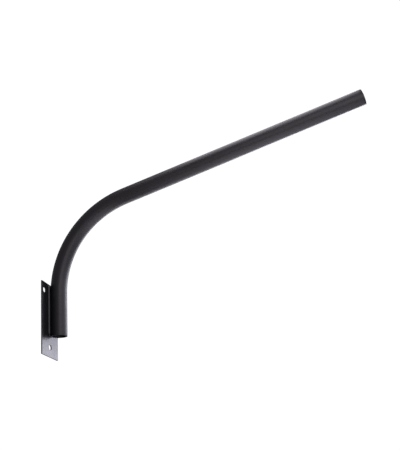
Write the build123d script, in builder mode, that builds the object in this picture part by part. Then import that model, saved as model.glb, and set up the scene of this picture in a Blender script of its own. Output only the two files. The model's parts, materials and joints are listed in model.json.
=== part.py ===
from build123d import *
import math
import os

# Wall bracket arm for a lamp: a steel tube, cold bent once, welded upright to a punched wall plate.
#
# Frame, in millimetres: the wall is the plane X = 0 and the arm reaches out along +X, +Y is sideways
# and +Z is up. The origin is the middle of the plate's back face. The tube's bend lies in the plane Y = 0.

# Wall plate
plate_width = 120.0
plate_height = 187.0
plate_thickness = 3.0
plate_corner_radius = 1.5
plate_edge_round = 0.4

# Slots in the plate, lying sideways so that the arm can be set plumb before its screws are tightened
slot_length = 20.0
slot_height = 13.0
upper_slot_spacing = 82.0
upper_slots_below_top = 21.0
lower_slot_above_bottom = 25.0

# Tube
tube_diameter = 42.4
tube_wall = 2.6
tube_rim_break = 0.5
tube_off_plate = 2.4
foot_above_plate_bottom = 51.0
foot_straight = 112.0
bend_radius = 255.0
arm_rise_angle = 17.0
arm_length = 671.0

# Weld beads, one along each side of the tube
bead_height = 5.3
bead_toe_reach = 7.1
bead_flank_lean = 28.0
bead_root_width = 4.0
bead_crest_round = 1.4
bead_end_round = 1.2
bead_above_foot = 1.0
bead_below_plate_top = 3.0

# Places worked out from the sizes
tube_radius = tube_diameter / 2
plate_front = plate_thickness
plate_top = plate_height / 2
tube_axis_x = plate_front + tube_off_plate + tube_radius
foot_z = foot_above_plate_bottom - plate_height / 2
bend_start_z = foot_z + foot_straight
bend_angle = 90.0 - arm_rise_angle

# The plate is one blank of flat sheet, with its slots punched through
slot_centres = [
    (-upper_slot_spacing / 2, plate_top - upper_slots_below_top),
    (upper_slot_spacing / 2, plate_top - upper_slots_below_top),
    (0, lower_slot_above_bottom - plate_height / 2),
]
with BuildPart() as wall_plate:
    with BuildSketch(Plane.YZ) as plate_outline:
        RectangleRounded(plate_width, plate_height, plate_corner_radius)
        with Locations(*slot_centres):
            SlotOverall(slot_length, slot_height, mode=Mode.SUBTRACT)
    extrude(amount=plate_thickness)
    plate_faces = wall_plate.faces().filter_by(Axis.X)
    fillet([edge for face in plate_faces for edge in face.outer_wire().edges()], plate_edge_round)

# The tube's centre line: up from the foot, round one bend and out along the arm
with BuildLine(Plane.XZ) as tube_line:
    Line((tube_axis_x, foot_z), (tube_axis_x, bend_start_z))
    JernArc((tube_axis_x, bend_start_z), (0, 1), bend_radius, -bend_angle)
    PolarLine(tube_line.line @ 1, arm_length, arm_rise_angle)

foot_plane = Plane(origin=(tube_axis_x, 0, foot_z), x_dir=(1, 0, 0), z_dir=(0, 0, 1))

with BuildPart() as arm_tube:
    with BuildSketch(foot_plane) as tube_section:
        Circle(tube_radius)
        Circle(tube_radius - tube_wall, mode=Mode.SUBTRACT)
    sweep(path=tube_line.line)
    end_faces = arm_tube.faces().filter_by(GeomType.PLANE)
    chamfer([face.outer_wire().edge() for face in end_faces], tube_rim_break)

# The space that the tube takes up, bore and all, to cut the weld beads to its outside
with BuildPart() as tube_envelope:
    with BuildSketch(foot_plane) as envelope_section:
        Circle(tube_radius)
    sweep(path=tube_line.line)

# Each bead fills the crevice beside the tube and stands out from it in a steep shoulder, whose flank
# leans from its toe on the plate towards the tube
tube_half_chord = math.sqrt(tube_radius**2 - (tube_radius + tube_off_plate - bead_height) ** 2)
bead_toe = tube_half_chord + bead_toe_reach
bead_crest = bead_toe - bead_height * math.tan(math.radians(bead_flank_lean))
bead_bottom = foot_z + bead_above_foot
bead_top = plate_top - bead_below_plate_top

with BuildPart() as weld_bead_left:
    with BuildSketch(Plane.XY.offset(bead_bottom)) as bead_section:
        with BuildLine() as bead_outline:
            Polyline(
                (plate_front, -tube_half_chord + bead_root_width),
                (plate_front, -bead_toe),
                (plate_front + bead_height, -bead_crest),
                (plate_front + bead_height, -tube_half_chord + bead_root_width),
                close=True,
            )
        make_face()
        crest = bead_section.vertices().group_by(Axis.X)[-1].sort_by(Axis.Y)[0]
        fillet(crest, bead_crest_round)
    extrude(amount=bead_top - bead_bottom)
    end_edges = weld_bead_left.faces().filter_by(Axis.Z).edges()
    fillet(end_edges.filter_by(GeomType.CIRCLE), bead_end_round)
    add(tube_envelope.part, mode=Mode.SUBTRACT)

with BuildPart() as weld_bead_right:
    mirror(weld_bead_left.part, about=Plane.XZ)

pieces = {
    "wall_plate": wall_plate,
    "arm_tube": arm_tube,
    "weld_bead_left": weld_bead_left,
    "weld_bead_right": weld_bead_right,
}
os.makedirs("parts", exist_ok=True)
for name, piece in pieces.items():
    piece.part.label = name
    export_step(piece.part, f"parts/{name}.step")
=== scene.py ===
# %% [markdown]
# # A lamp bracket arm in black powder coat
#
# This arm holds a small street lamp off a wall. Its maker saws a length of steel tube, bends it once,
# welds it upright to a punched plate and coats everything with black powder, which melts into one
# tough skin in an oven. The frame already holds each piece at its real size and place, so this lesson
# only adds the looks: finer surfaces where the frame's are plain, the finishes, the light and the camera.

# %% Load the fixed frame
import json
import math
import bpy
import numpy as np
from mathutils import Matrix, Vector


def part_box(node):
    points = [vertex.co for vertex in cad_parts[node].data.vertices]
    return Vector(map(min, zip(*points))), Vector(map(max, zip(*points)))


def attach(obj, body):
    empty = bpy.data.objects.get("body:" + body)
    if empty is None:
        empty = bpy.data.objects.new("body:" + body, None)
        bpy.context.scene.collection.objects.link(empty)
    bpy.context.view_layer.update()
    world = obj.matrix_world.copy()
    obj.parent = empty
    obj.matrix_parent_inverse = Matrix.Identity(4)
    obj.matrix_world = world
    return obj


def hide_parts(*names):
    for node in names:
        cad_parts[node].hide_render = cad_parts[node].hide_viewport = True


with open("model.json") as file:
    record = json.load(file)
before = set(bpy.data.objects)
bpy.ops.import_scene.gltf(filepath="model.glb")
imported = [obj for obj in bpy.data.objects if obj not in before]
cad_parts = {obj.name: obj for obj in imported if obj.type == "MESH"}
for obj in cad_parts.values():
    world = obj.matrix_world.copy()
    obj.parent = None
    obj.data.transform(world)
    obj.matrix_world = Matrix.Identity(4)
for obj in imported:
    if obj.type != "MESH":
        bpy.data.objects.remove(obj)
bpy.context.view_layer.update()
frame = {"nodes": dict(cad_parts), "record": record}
MM = 0.001
print("nodes of the frame:", sorted(frame["nodes"]))

# %% [markdown]
# ## Sizes
#
# Nothing is measured twice. The record names the tube's two open ends and the straight run behind
# each, with their real radii, and those few numbers fix the whole tube: the bend is the arc that joins
# the two straight runs.

# %% Read the tube's sizes from the record
mounts = {mount["name"]: mount for mount in frame["record"]["mounts"]}
foot_centre = np.array(mounts["foot_bore"]["pos_m"])
tip_centre = np.array(mounts["tip_bore"]["pos_m"])
arm_direction = np.array(mounts["tip_bore"]["axis"])
tube_radius = mounts["lamp_spigot"]["dims"]["r_mm"] * MM
bore_radius = mounts["tip_bore"]["dims"]["r_mm"] * MM
foot_run = mounts["foot_bore"]["dims"]["length_mm"] * MM
arm_run = mounts["tip_bore"]["dims"]["length_mm"] * MM

bend_angle = math.acos(arm_direction[2])
bend_rise = tip_centre[2] - arm_run * arm_direction[2] - foot_centre[2] - foot_run
bend_radius = bend_rise / math.sin(bend_angle)
bend_run = bend_radius * bend_angle
tube_run = foot_run + bend_run + arm_run
print("tube:", round(2 * tube_radius / MM, 1), "mm across,", round(tube_run / MM), "mm long, bent",
      round(math.degrees(bend_angle)), "degrees at", round(bend_radius / MM), "mm")

# %% [markdown]
# ## Meshes from arrays
#
# A bent tube is a ring carried along a line. Numpy can work out all the points of such a surface at
# once, as a grid of rows and columns, and Blender takes the whole grid in one call. The same helper
# then serves every new piece, so it is written first.

# %% A mesh from a grid of points
def grid_faces(rows, columns, close_rows):
    """Corner numbers of the quads of a grid whose columns always close into a ring.

    The quad at row r and column c joins (r, c), (r, c+1), (r+1, c+1) and (r+1, c). The column after
    the last is the first, and so is the row after the last where close_rows is true.
    """
    row = np.arange(rows if close_rows else rows - 1)[:, None]
    column = np.arange(columns)[None, :]
    next_row = (row + 1) % rows
    next_column = (column + 1) % columns
    corners = [row * columns + column, row * columns + next_column,
               next_row * columns + next_column, next_row * columns + column]
    return np.stack(corners, axis=-1).reshape(-1, 4)


def mesh_piece(name, points, faces):
    """A smooth-shaded object whose mesh has these points, in metres, and these faces."""
    mesh = bpy.data.meshes.new(name)
    mesh.from_pydata(points.reshape(-1, 3), [], faces)
    mesh.polygons.foreach_set("use_smooth", np.ones(len(mesh.polygons), bool))
    mesh.update()
    piece = bpy.data.objects.new(name, mesh)
    bpy.context.scene.collection.objects.link(piece)
    return piece


def enclosed_volume(piece):
    """Volume inside a closed mesh, in cubic metres, and negative where its faces point inwards.

    Each triangle adds a sixth of the triple product of its corners.
    """
    mesh = piece.data
    mesh.calc_loop_triangles()
    points = np.empty(len(mesh.vertices) * 3)
    mesh.vertices.foreach_get("co", points)
    corners = np.empty(len(mesh.loop_triangles) * 3, int)
    mesh.loop_triangles.foreach_get("vertices", corners)
    a, b, c = points.reshape(-1, 3)[corners].reshape(-1, 3, 3).transpose(1, 0, 2)
    return float(np.einsum("ij,ij->i", a, np.cross(b, c)).sum() / 6)


print("a grid of 3 rows and 4 columns has", len(grid_faces(3, 4, False)), "quads, and",
      len(grid_faces(3, 4, True)), "once its rows close too")

# %% [markdown]
# ## The bent tube
#
# The frame's tube has the right form, but its facets would show along the gloss. A curve with a round
# bevel would be quick to draw, but it has no wall and no rims. So this piece is one closed skin: up the
# outside, round the sawn rim at the tip, back down the bore and round the rim at the foot. Two traces
# of its making are added, both under a millimetre. Bending squeezes the round section slightly oval,
# and a tube rolled from strip has a low weld ridge inside.

# %% The tube's centre line
def centre_line(distance):
    """Points of the tube's centre line at distances from the foot, and the way to the bend's inside.

    The line climbs straight up for foot_run. At angle a round the bend it has moved out by
    bend_radius * (1 - cos a) and up by bend_radius * sin a, and after that it runs along the arm.
    """
    turned = np.clip((distance - foot_run) / bend_radius, 0, bend_angle)
    level = np.zeros_like(turned)
    climbed = np.clip(distance, None, foot_run)
    run_out = np.clip(distance - foot_run - bend_run, 0, None)
    points = (foot_centre
              + np.stack([level, level, climbed], axis=-1)
              + bend_radius * np.stack([1 - np.cos(turned), level, np.sin(turned)], axis=-1)
              + run_out[:, None] * arm_direction)
    inward = np.stack([np.cos(turned), level, -np.sin(turned)], axis=-1)
    return points, inward


print("the line ends", round(np.linalg.norm(centre_line(np.array([tube_run]))[0][0] - tip_centre) / MM, 4),
      "mm from the tip's centre")

# %% The closed outline that goes round the ring: outside, tip rim, bore, foot rim
OUTER_RIM_ROUND = 0.6 * MM
INNER_RIM_ROUND = 0.35 * MM
STATION_STEP = 9 * MM
RIM_STEPS = 5


def rim_corner(distance, radius, size, start_turn):
    """A quarter circle of that size round (distance, radius), from start_turn quarters, going clockwise."""
    angle = (start_turn - np.linspace(0, 1, RIM_STEPS)) * math.pi / 2
    return distance + size * np.cos(angle), radius + size * np.sin(angle)


def tube_outline():
    """Distances from the foot and radii of the wall's outline, as one closed loop.

    The straight stretches have a station every STATION_STEP, and the four corners are quarter circles.
    """
    outer_centre = tube_radius - OUTER_RIM_ROUND
    inner_centre = bore_radius + INNER_RIM_ROUND
    stations = np.linspace(OUTER_RIM_ROUND, tube_run - OUTER_RIM_ROUND, round(tube_run / STATION_STEP))[1:-1]
    stretches = [
        (stations, np.full_like(stations, tube_radius)),
        rim_corner(tube_run - OUTER_RIM_ROUND, outer_centre, OUTER_RIM_ROUND, 1),
        rim_corner(tube_run - INNER_RIM_ROUND, inner_centre, INNER_RIM_ROUND, 0),
        (stations[::-1], np.full_like(stations, bore_radius)),
        rim_corner(INNER_RIM_ROUND, inner_centre, INNER_RIM_ROUND, -1),
        rim_corner(OUTER_RIM_ROUND, outer_centre, OUTER_RIM_ROUND, -2),
    ]
    return np.concatenate([s[0] for s in stretches]), np.concatenate([s[1] for s in stretches])


print("the wall's outline has", tube_outline()[0].size, "stations")

# %% Carry the ring along the line
RING_POINTS = 160
OVAL_SHARE = 0.006
SEAM_HEIGHT = 0.6 * MM
SEAM_HALF_WIDTH = 1.4 * MM
SEAM_ANGLE = math.radians(205)


def tube_points():
    """The tube's skin as a grid: rows go round the outline and columns round the ring.

    A point lies at centre + r * (cos u * inward + sin u * sideways). In the middle of the bend r loses
    a share of OVAL_SHARE * cos 2u, which flattens the ring in the bend's plane and fades out towards
    both ends of the bend. In the bore r also loses a bell curve of SEAM_HEIGHT at SEAM_ANGLE, the ridge.
    """
    distance, radius = tube_outline()
    centre, inward = centre_line(distance)
    u = np.linspace(0, 2 * math.pi, RING_POINTS, endpoint=False)
    along_bend = np.clip((distance - foot_run) / bend_run, 0, 1)
    oval = OVAL_SHARE * np.sin(math.pi * along_bend) ** 2
    ring = radius[:, None] * (1 - oval[:, None] * np.cos(2 * u))
    off_seam = (u - SEAM_ANGLE) * bore_radius / SEAM_HALF_WIDTH
    in_bore = (radius < (tube_radius + bore_radius) / 2)[:, None]
    ring = ring - in_bore * SEAM_HEIGHT * np.exp(-off_seam ** 2)
    sideways = np.array([0.0, 1.0, 0.0])
    around = np.cos(u)[None, :, None] * inward[:, None, :] + np.sin(u)[None, :, None] * sideways
    return centre[:, None, :] + ring[..., None] * around


points = tube_points()
arm_skin = mesh_piece("arm_skin", points, grid_faces(points.shape[0], RING_POINTS, True))
print("arm_skin:", len(arm_skin.data.polygons), "quads,",
      round(enclosed_volume(arm_skin) * 1e6, 1), "cm3 of steel")

# %% [markdown]
# ## The weld beads
#
# The tube stands a little off the plate, and one long bead fills the crevice on each side. The
# photograph shows a steep flank along it. Molten metal freezes in overlapping waves, so a bead
# has bowed ripples a few millimetres apart. A bump in the material could hint at them, but they
# catch the light at the edge too, so here they are in the shape.

# %% A bead's section
plate_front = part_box("wall_plate")[1][0]
bead_low, bead_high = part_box("weld_bead_left")
bead_height = bead_high[0] - plate_front
bead_toe = -bead_low[1]
bead_root = -bead_high[1]

SHOULDER_SQUARENESS = 7.0
FLANK_LEAN = math.tan(math.radians(28))
SINK = 0.08 * MM
FLANK_POINTS = 26
BACK_POINTS = 8


def bead_section(size, groove):
    """One closed outline of the left bead, as x and y, for each pair of a size factor and a groove.

    Seen from above, the outside is a quarter of a squarish ellipse, whose points are half-widths times
    cos and sin of t raised to 2 / SHOULDER_SQUARENESS. It climbs from the toe on the plate to the tube,
    and leans towards it by FLANK_LEAN of its height. The groove takes its share of the outside, times the
    square root of sin 2t, which fades it out at both edges. Then the outline follows the tube's round
    into the crevice and comes back along the plate, both SINK deep in the steel so that no gap shows.
    """
    height = bead_height * size
    touch_x = plate_front + height
    touch_y = np.sqrt(tube_radius ** 2 - (foot_centre[0] - touch_x) ** 2)
    width = (bead_toe - touch_y[size.argmax()]) * size
    t = np.linspace(0, math.pi / 2, FLANK_POINTS)
    power = 2 / SHOULDER_SQUARENESS
    reach = 1 - groove * np.sin(2 * t) ** 0.5
    flank_x = plate_front + height[:, None] * np.sin(t) ** power * reach
    flank_y = touch_y[:, None] + width[:, None] * np.clip(np.cos(t), 0, 1) ** power * reach
    flank_y = flank_y - FLANK_LEAN * (flank_x - plate_front) * (flank_y - touch_y[:, None]) / width[:, None]
    root_angle = np.arcsin(bead_root / (tube_radius - SINK))
    touch_angle = np.arcsin(touch_y / tube_radius)
    share = np.linspace(0, 1, BACK_POINTS)
    back_angle = touch_angle[:, None] + (root_angle - touch_angle)[:, None] * share
    back_x = foot_centre[0] - (tube_radius - SINK) * np.cos(back_angle)
    back_y = (tube_radius - SINK) * np.sin(back_angle)
    floor_y = bead_root + (touch_y + width - bead_root)[:, None] * np.linspace(0, 1, BACK_POINTS)[:-1]
    floor_x = np.full_like(floor_y, plate_front - SINK)
    x = np.concatenate([flank_x, back_x, floor_x], axis=1)
    y = -np.concatenate([flank_y, back_y, floor_y], axis=1)
    return x, y


print("a bead stands", round(bead_height / MM, 1), "mm off the plate, with its toe",
      round(bead_toe / MM, 1), "mm from the middle")

# %% Draw the section out into a rippled bead
RIPPLE_PITCH = 2.8 * MM
RIPPLE_DEPTH = 0.16 * MM
RIPPLE_BOW = 0.8
ROWS_PER_RIPPLE = 10
HAND_WANDER = [(0.25, 17 * MM), (0.15, 6.1 * MM)]
END_TAPER = 7 * MM
END_LOSS = 0.2
END_ROUND = 1.4 * MM


def bead_points():
    """The left bead as a grid: rows go up the bead and columns round its section.

    The section's size falls by END_LOSS over END_TAPER at both ends. The groove depth is
    RIPPLE_DEPTH times (1/2 + cos(2 pi phase) / 2) cubed. The phase counts pitches up the bead. It runs
    ahead by RIPPLE_BOW at both edges of the outside, which bows the ripples, and a welder's hand adds
    slow waves, each a share of a pitch times the sine of height over its length.
    """
    bottom, top = bead_low[2] + END_ROUND, bead_high[2] - END_ROUND
    rows = round((top - bottom) / RIPPLE_PITCH * ROWS_PER_RIPPLE)
    z = np.linspace(bottom, top, rows)
    to_end = np.minimum(z - bottom, top - z)
    size = 1 - END_LOSS * np.clip(1 - to_end / END_TAPER, 0, 1) ** 2
    t = np.linspace(0, 1, FLANK_POINTS)
    wander = sum(share * np.sin(z / length) for share, length in HAND_WANDER)
    phase = (z / RIPPLE_PITCH + wander)[:, None] + RIPPLE_BOW * (t - 0.5) ** 2 * 4
    groove = RIPPLE_DEPTH / bead_height * (0.5 + 0.5 * np.cos(2 * math.pi * phase)) ** 3
    x, y = bead_section(size, groove)
    return np.stack([x, y, np.broadcast_to(z[:, None], x.shape)], axis=-1)


CAP_ROWS = 5
CAP_FLAT = 0.35


def with_rounded_ends(points):
    """Adds CAP_ROWS rows at both ends that draw in like a quarter circle of END_ROUND, and then a point.

    At turn a the row has moved out by END_ROUND * sin a, and its size is CAP_FLAT + (1 - CAP_FLAT) * cos a.
    """
    def cap(row, way):
        middle = row.mean(axis=0)
        turn = np.linspace(0, math.pi / 2, CAP_ROWS + 1)[1:, None, None]
        shrunk = middle + (row - middle) * (CAP_FLAT + (1 - CAP_FLAT) * np.cos(turn))
        shrunk[..., 2] += way * END_ROUND * np.sin(turn[..., 0])
        return np.concatenate([shrunk, np.broadcast_to(shrunk[-1].mean(axis=0), (1,) + row.shape)])
    return np.concatenate([cap(points[0], -1)[::-1], points, cap(points[-1], 1)])


def weld_bead(name, side):
    """The bead on one side of the tube, with side 1 for the left one and -1 for its mirror image."""
    points = with_rounded_ends(bead_points())
    faces = grid_faces(points.shape[0], points.shape[1], False)
    if side < 0:
        points = points * np.array([1.0, -1.0, 1.0])
        faces = faces[:, ::-1]
    piece = mesh_piece(name, points, faces)
    print(name + ":", len(faces), "quads,", round(enclosed_volume(piece) * 1e9), "mm3")
    return piece


rippled_bead_left = weld_bead("rippled_bead_left", 1)
rippled_bead_right = weld_bead("rippled_bead_right", -1)

# %% [markdown]
# ## Finishes
#
# All the steel is under one skin of polyester powder coat. It is a plastic, so it reflects with an
# index of refraction near 1.5 and has no metallic part. Its black is the colour of soot in the
# plastic, never quite zero. As the powder melts it flows almost level, and what is left is a
# faint orange peel, some three millimetres from crest to crest, which breaks up reflections. A picture
# of such a coat would stretch and repeat along the tube. Noise on the object's own coordinates keeps
# its real size everywhere, and needs no picture.

# %% Colours and nodes
def linear(hex_code):
    """The linear colour of an sRGB hex code, with an alpha of 1.

    A channel c up to 0.04045 is divided by 12.92, and above that it is ((c + 0.055) / 1.055) ** 2.4.
    """
    channels = np.array([int(hex_code[i:i + 2], 16) for i in (1, 3, 5)]) / 255
    low = channels / 12.92
    high = ((channels + 0.055) / 1.055) ** 2.4
    return tuple(float(c) for c in np.where(channels <= 0.04045, low, high)) + (1.0,)


def add_node(tree, kind, settings=None, **links):
    """A new node of that kind. Settings are its properties, or sockets by number or name.

    Each link names an input socket, with underscores for spaces, and gives the socket that feeds it.
    """
    node = tree.nodes.new(kind)
    for key, value in (settings or {}).items():
        if isinstance(key, str) and hasattr(node, key):
            setattr(node, key, value)
        else:
            node.inputs[key].default_value = value
    for key, source in links.items():
        tree.links.new(source, node.inputs[key.replace("_", " ")])
    return node


def new_finish(name):
    """An empty material of that name, with its node tree, ready for nodes."""
    finish = bpy.data.materials.new(name)
    finish.use_nodes = True
    finish.node_tree.nodes.clear()
    return finish, finish.node_tree


print("half grey #808080 is", round(linear("#808080")[0], 3), "in linear light")

# %% Black powder coat
COAT_IOR = 1.5
PEEL_WAVE = 3.2 * MM
NIB_SIZE = 0.5 * MM
NIB_DEPTH_SHARE = 0.25
FILM_PATCH = 60 * MM
GLOSS_SWING = 0.03
NOISE_LOW, NOISE_HIGH = 0.3, 0.7


def powder_coat(name, dark, light, roughness, peel_depth):
    """Semi-gloss black powder coat on steel, with orange peel, tiny nibs and a film of uneven flow.

    The film's noise mixes the two colours, and swings the roughness by GLOSS_SWING either way. Noise
    hardly leaves the stretch from NOISE_LOW to NOISE_HIGH, so that stretch gives the whole swing.
    """
    finish, tree = new_finish(name)
    place = add_node(tree, "ShaderNodeTexCoord").outputs["Object"]
    film = add_node(tree, "ShaderNodeTexNoise", {"Scale": 1 / FILM_PATCH, "Detail": 3.0}, Vector=place)
    peel = add_node(tree, "ShaderNodeTexNoise", {"Scale": 1 / PEEL_WAVE, "Detail": 1.0}, Vector=place)
    nibs = add_node(tree, "ShaderNodeTexNoise", {"Scale": 1 / NIB_SIZE, "Detail": 0.0}, Vector=place)
    colour = add_node(tree, "ShaderNodeMix", {"data_type": "RGBA", 6: linear(dark), 7: linear(light)})
    tree.links.new(film.outputs["Fac"], colour.inputs["Factor"])
    gloss = add_node(tree, "ShaderNodeMapRange", {"From Min": NOISE_LOW, "From Max": NOISE_HIGH,
                     "To Min": roughness - GLOSS_SWING, "To Max": roughness + GLOSS_SWING},
                     Value=film.outputs["Fac"])
    fine = add_node(tree, "ShaderNodeBump", {"Strength": 0.5, "Distance": peel_depth * NIB_DEPTH_SHARE},
                    Height=nibs.outputs["Fac"])
    waves = add_node(tree, "ShaderNodeBump", {"Strength": 1.0, "Distance": peel_depth},
                     Height=peel.outputs["Fac"], Normal=fine.outputs["Normal"])
    shader = add_node(tree, "ShaderNodeBsdfPrincipled", {"IOR": COAT_IOR},
                      Base_Color=colour.outputs[2], Roughness=gloss.outputs["Result"],
                      Normal=waves.outputs["Normal"])
    add_node(tree, "ShaderNodeOutputMaterial", Surface=shader.outputs["BSDF"])
    return finish


plate_coat = powder_coat("black powder coat on sheet", "#0e0e10", "#121214", 0.34, 0.040 * MM)
bead_coat = powder_coat("black powder coat on weld", "#0f0f11", "#131315", 0.38, 0.030 * MM)
print("finishes:", plate_coat.name, "and", bead_coat.name)

# %% [markdown]
# ## The tube's two finishes
#
# Powder is sprayed from outside. It wraps round the sawn rims and drifts a few centimetres into the
# open ends, thinning out, and past that the bore shows bare steel, grey-brown from the mill. Two
# materials on one mesh would meet in a hard line. So the mesh keeps a number on each point that says
# how bare the steel is there, and one material mixes its two looks by it.

# %% How bare each point of the tube is
COAT_DRIFT = 35 * MM


def bareness():
    """One value for each point of the tube's grid: 0 where coated, rising to 1 deep in the bore.

    In the bore it is 1 - exp(-(d / COAT_DRIFT) squared), where d is the distance to the nearer end.
    """
    distance, radius = tube_outline()
    depth = np.clip(np.minimum(distance, tube_run - distance), 0, None)
    in_bore = radius < (tube_radius + bore_radius) / 2
    bare = in_bore * (1 - np.exp(-(depth / COAT_DRIFT) ** 2))
    return np.repeat(bare, RING_POINTS)


bare_values = bareness()
bare_attribute = arm_skin.data.attributes.new("bareness", "FLOAT", "POINT")
bare_attribute.data.foreach_set("value", bare_values.astype(np.float32))
print("points with bare steel:", int((bare_values > 0.5).sum()), "of", bare_values.size)

# %% Powder coat over mill steel
SCALE_PATCH = 9 * MM
tube_coat = powder_coat("black powder coat on tube", "#0f0f11", "#131315", 0.42, 0.036 * MM)


def show_mill_steel(finish):
    """Mixes bare, dull mill steel into a coat by the mesh's bareness. Steel is a metal, with patchy scale."""
    tree = finish.node_tree
    output = next(node for node in tree.nodes if node.type == "OUTPUT_MATERIAL")
    coat = output.inputs["Surface"].links[0].from_socket
    place = add_node(tree, "ShaderNodeTexCoord").outputs["Object"]
    scale = add_node(tree, "ShaderNodeTexNoise", {"Scale": 1 / SCALE_PATCH, "Detail": 5.0}, Vector=place)
    greys = {"data_type": "RGBA", 6: linear("#4b4744"), 7: linear("#7d7973")}
    colour = add_node(tree, "ShaderNodeMix", greys)
    tree.links.new(scale.outputs["Fac"], colour.inputs["Factor"])
    steel = add_node(tree, "ShaderNodeBsdfPrincipled", {"Metallic": 0.8, "Roughness": 0.55},
                     Base_Color=colour.outputs[2])
    bare = add_node(tree, "ShaderNodeAttribute", {"attribute_name": "bareness"})
    mixed = add_node(tree, "ShaderNodeMixShader", Fac=bare.outputs["Fac"])
    tree.links.new(coat, mixed.inputs[1])
    tree.links.new(steel.outputs["BSDF"], mixed.inputs[2])
    tree.links.new(mixed.outputs["Shader"], output.inputs["Surface"])


show_mill_steel(tube_coat)
print("nodes in the tube's finish:", len(tube_coat.node_tree.nodes))

# %% [markdown]
# ## Fit the pieces to the frame
#
# The new surfaces stand for the frame's plain solids, and ride on its one body. The plate's own solid
# already has its rounded edges and punched slots, so it stays and only gets its finish.

# %% Ride, replace and finish
def fit_piece(piece, node, finish):
    """The piece stands for that node, which it hides, rides on the only body and takes that finish."""
    piece.data.materials.append(finish)
    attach(piece, "root")
    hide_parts(node)


fit_piece(arm_skin, "arm_tube", tube_coat)
fit_piece(rippled_bead_left, "weld_bead_left", bead_coat)
fit_piece(rippled_bead_right, "weld_bead_right", bead_coat)

plate = frame["nodes"]["wall_plate"]
plate.data.materials.clear()
plate.data.materials.append(plate_coat)
print("plate corners:", len(plate.data.vertices))

# %% [markdown]
# ## The camera
#
# The photograph was taken from below and a little to the right, looking up at the arm. Its direction,
# distance and lens follow from the tube's own edges, the plate's corners and the known sizes. The
# picture stands on its short side, so Blender spreads the sensor's width over the picture's height.

# %% Place the camera
SENSOR = 36.0
LENS = 72.79
CAMERA_AIM = np.array([403.8, 0.0, 212.2]) * MM
CAMERA_DISTANCE = 2322 * MM
CAMERA_AZIMUTH = math.radians(-9.351)
CAMERA_PITCH = math.radians(17.659)
CAMERA_ROLL = math.radians(-3.315)


def looking_along(azimuth, pitch, roll):
    """Right, up and forward directions of a camera, with azimuth 0 along +Y and pitch above the horizon."""
    forward = np.array([math.sin(azimuth) * math.cos(pitch), math.cos(azimuth) * math.cos(pitch),
                        math.sin(pitch)])
    level = np.array([math.cos(azimuth), -math.sin(azimuth), 0.0])
    upright = np.cross(level, forward)
    right = math.cos(roll) * level + math.sin(roll) * upright
    return right, np.cross(right, forward), forward


right, up, forward = looking_along(CAMERA_AZIMUTH, CAMERA_PITCH, CAMERA_ROLL)
camera_place = CAMERA_AIM - CAMERA_DISTANCE * forward
camera_data = bpy.data.cameras.new("camera")
camera_data.sensor_width = SENSOR
camera_data.lens = LENS
camera = bpy.data.objects.new("camera", camera_data)
bpy.context.scene.collection.objects.link(camera)
turn = np.eye(4)
turn[:3, :4] = np.stack([right, up, -forward, camera_place], axis=1)
camera.matrix_world = Matrix(turn.tolist())
bpy.context.scene.camera = camera
print("camera at", camera_place.round(3), "m")

# %% [markdown]
# ## The floor and the room
#
# The photograph's ground is plain white. A pale floor lies far below the arm, and its paper fades out
# towards the edge, so that no line shows where it ends. A square would do for a floor, but a disc suits
# a round fade. The arm neither mirrors it nor is lit by it, which is left to the sheets of light.

# %% The floor's disc
FLOOR_LEVEL = -1600 * MM
FLOOR_RADIUS = 4.5
FLOOR_RINGS = 24
FLOOR_SPOKES = 96


def floor_points():
    """A disc as a grid of rings, with points at r * (cos u, sin u) on the level of the floor."""
    r = np.linspace(0, 1, FLOOR_RINGS)[:, None] * FLOOR_RADIUS
    u = np.linspace(0, 2 * math.pi, FLOOR_SPOKES, endpoint=False)[None, :]
    level = np.full((FLOOR_RINGS, FLOOR_SPOKES), FLOOR_LEVEL)
    return np.stack([r * np.cos(u), r * np.sin(u), level], axis=-1)


floor = mesh_piece("floor", floor_points(), grid_faces(FLOOR_RINGS, FLOOR_SPOKES, False))
floor.visible_diffuse = False
floor.visible_glossy = False
print("floor", round(-FLOOR_LEVEL / MM), "mm below the plate's middle")

# %% Its paper, which fades out
FLOOR_FADE = 1.5
FLOOR_GLOW = 0.6


def pale_paper():
    """White matt paper with a glow of its own, clear at the rim.

    The fade runs smoothly from FLOOR_FADE to FLOOR_RADIUS, by the distance from the middle.
    """
    paint, tree = new_finish("pale matt paper")
    place = add_node(tree, "ShaderNodeTexCoord").outputs["Object"]
    flat = add_node(tree, "ShaderNodeVectorMath", {"operation": "MULTIPLY", 1: (1.0, 1.0, 0.0)}, Vector=place)
    distance = add_node(tree, "ShaderNodeVectorMath", {"operation": "LENGTH"}, Vector=flat.outputs["Vector"])
    fade = add_node(tree, "ShaderNodeMapRange", {"interpolation_type": "SMOOTHSTEP", "From Min": FLOOR_FADE,
                    "From Max": FLOOR_RADIUS}, Value=distance.outputs["Value"])
    paper = add_node(tree, "ShaderNodeBsdfPrincipled", {"Base Color": linear("#ececed"), "Roughness": 0.9,
                     "Emission Color": linear("#ffffff"), "Emission Strength": FLOOR_GLOW})
    clear = add_node(tree, "ShaderNodeBsdfTransparent")
    faded = add_node(tree, "ShaderNodeMixShader", Fac=fade.outputs["Result"])
    tree.links.new(paper.outputs["BSDF"], faded.inputs[1])
    tree.links.new(clear.outputs["BSDF"], faded.inputs[2])
    add_node(tree, "ShaderNodeOutputMaterial", Surface=faded.outputs["Shader"])
    return paint


floor.data.materials.append(pale_paper())
print("the floor fades from", FLOOR_FADE, "to", FLOOR_RADIUS, "m")

# %% A white room round it
ROOM_GLOW = 0.275
BACKGROUND_WHITE = 1.05


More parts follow.
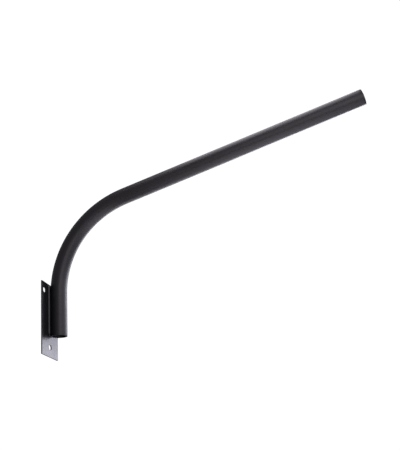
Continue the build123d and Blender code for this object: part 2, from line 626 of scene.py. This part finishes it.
def white_room():
    """A world that shows plain white, and gives the arm only the weak glow of a room to mirror."""
    room = bpy.data.worlds.new("white room")
    room.use_nodes = True
    tree = room.node_tree
    tree.nodes.clear()
    seen = add_node(tree, "ShaderNodeBackground", {"Color": linear("#ffffff"), "Strength": BACKGROUND_WHITE})
    glow = add_node(tree, "ShaderNodeBackground", {"Color": linear("#f8efff"), "Strength": ROOM_GLOW})
    rays = add_node(tree, "ShaderNodeLightPath")
    choice = add_node(tree, "ShaderNodeMixShader", Fac=rays.outputs["Is Camera Ray"])
    tree.links.new(glow.outputs["Background"], choice.inputs[1])
    tree.links.new(seen.outputs["Background"], choice.inputs[2])
    add_node(tree, "ShaderNodeOutputWorld", Surface=choice.outputs["Shader"])
    return room


bpy.context.scene.world = white_room()
bpy.context.scene.view_settings.view_transform = "Standard"
print("room glow", ROOM_GLOW, "behind a white of", BACKGROUND_WHITE)

# %% [markdown]
# ## Light
#
# Black gloss shows hardly any colour of its own, only what it mirrors, so the light is the picture. The
# photograph looks like a light tent: bright sheets behind and above the arm, dimmer ones to the right,
# in front and below, and nothing to the left of the camera, which leaves the bend its deep black. One
# big light could not give such a row of tones, so the tent is built as a box of flat lights. One weak
# sheet stands low on the wall's side, where the photograph's view mirrors next to nothing of it, to
# show the plate's back.

# %% The sheets of the light tent
BLUISH_WHITE = linear("#eff0ff")
PINKISH_WHITE = linear("#fcf5ff")


def sheet_of_light(name, corner, opposite, faces, brightness, colour):
    """A flat light between two opposite corners, shining the way it faces.

    A mirror shows a brightness of 1 as plain white. A face of brightness L and area A sends out a power
    of pi * A * L.
    """
    corner, opposite, back = np.array(corner), np.array(opposite), -np.array(faces)
    across = np.array([0.0, 1.0, 0.0]) if back[0] else np.array([1.0, 0.0, 0.0])
    size = np.abs(opposite - corner)
    data = bpy.data.lights.new(name, "AREA")
    data.shape = "RECTANGLE"
    data.size, data.size_y = across @ size, np.abs(np.cross(back, across)) @ size
    data.energy = math.pi * data.size * data.size_y * brightness
    data.color = colour[:3]
    light = bpy.data.objects.new(name, data)
    bpy.context.scene.collection.objects.link(light)
    stand = np.eye(4)
    stand[:3, :4] = np.stack([across, np.cross(back, across), back, (corner + opposite) / 2], axis=1)
    light.matrix_world = Matrix(stand.tolist())
    light.visible_camera = False
    return light


# Name, two opposite corners in metres, the way it faces, brightness and colour
SHEETS = [
    ("back_sheet", (0.525, 1.3, 0.18), (2.1, 1.3, 1.35), (0, -1, 0), 4.84, BLUISH_WHITE),
    ("low_back_sheet", (0.0, 1.3, -0.21), (1.05, 1.3, 0.18), (0, -1, 0), 3.95, BLUISH_WHITE),
    ("overhead_sheet", (0.0, -0.75, 1.35), (0.75, 0.75, 1.35), (0, 0, -1), 2.97, PINKISH_WHITE),
    ("front_sheet", (0.525, -1.5, -0.225), (2.1, -1.5, 1.35), (0, 1, 0), 1.49, PINKISH_WHITE),
    ("right_sheet", (2.1, -1.5, -0.05), (2.1, 1.3, 1.35), (-1, 0, 0), 0.96, PINKISH_WHITE),
    ("low_sheet", (0.7, -1.5, -0.75), (1.4, 1.3, -0.75), (0, 0, 1), 1.95, PINKISH_WHITE),
    ("low_corner_sheet", (0.0, 0.6, -0.75), (0.7, 1.3, -0.75), (0, 0, 1), 2.32, PINKISH_WHITE),
    ("wall_side_sheet", (-0.6, -1.2, -0.75), (-0.6, 1.2, -0.12), (1, 0, 0), 0.60, PINKISH_WHITE),
]
for sheet in SHEETS:
    sheet_of_light(*sheet)
print("sheets of light:", len(SHEETS))
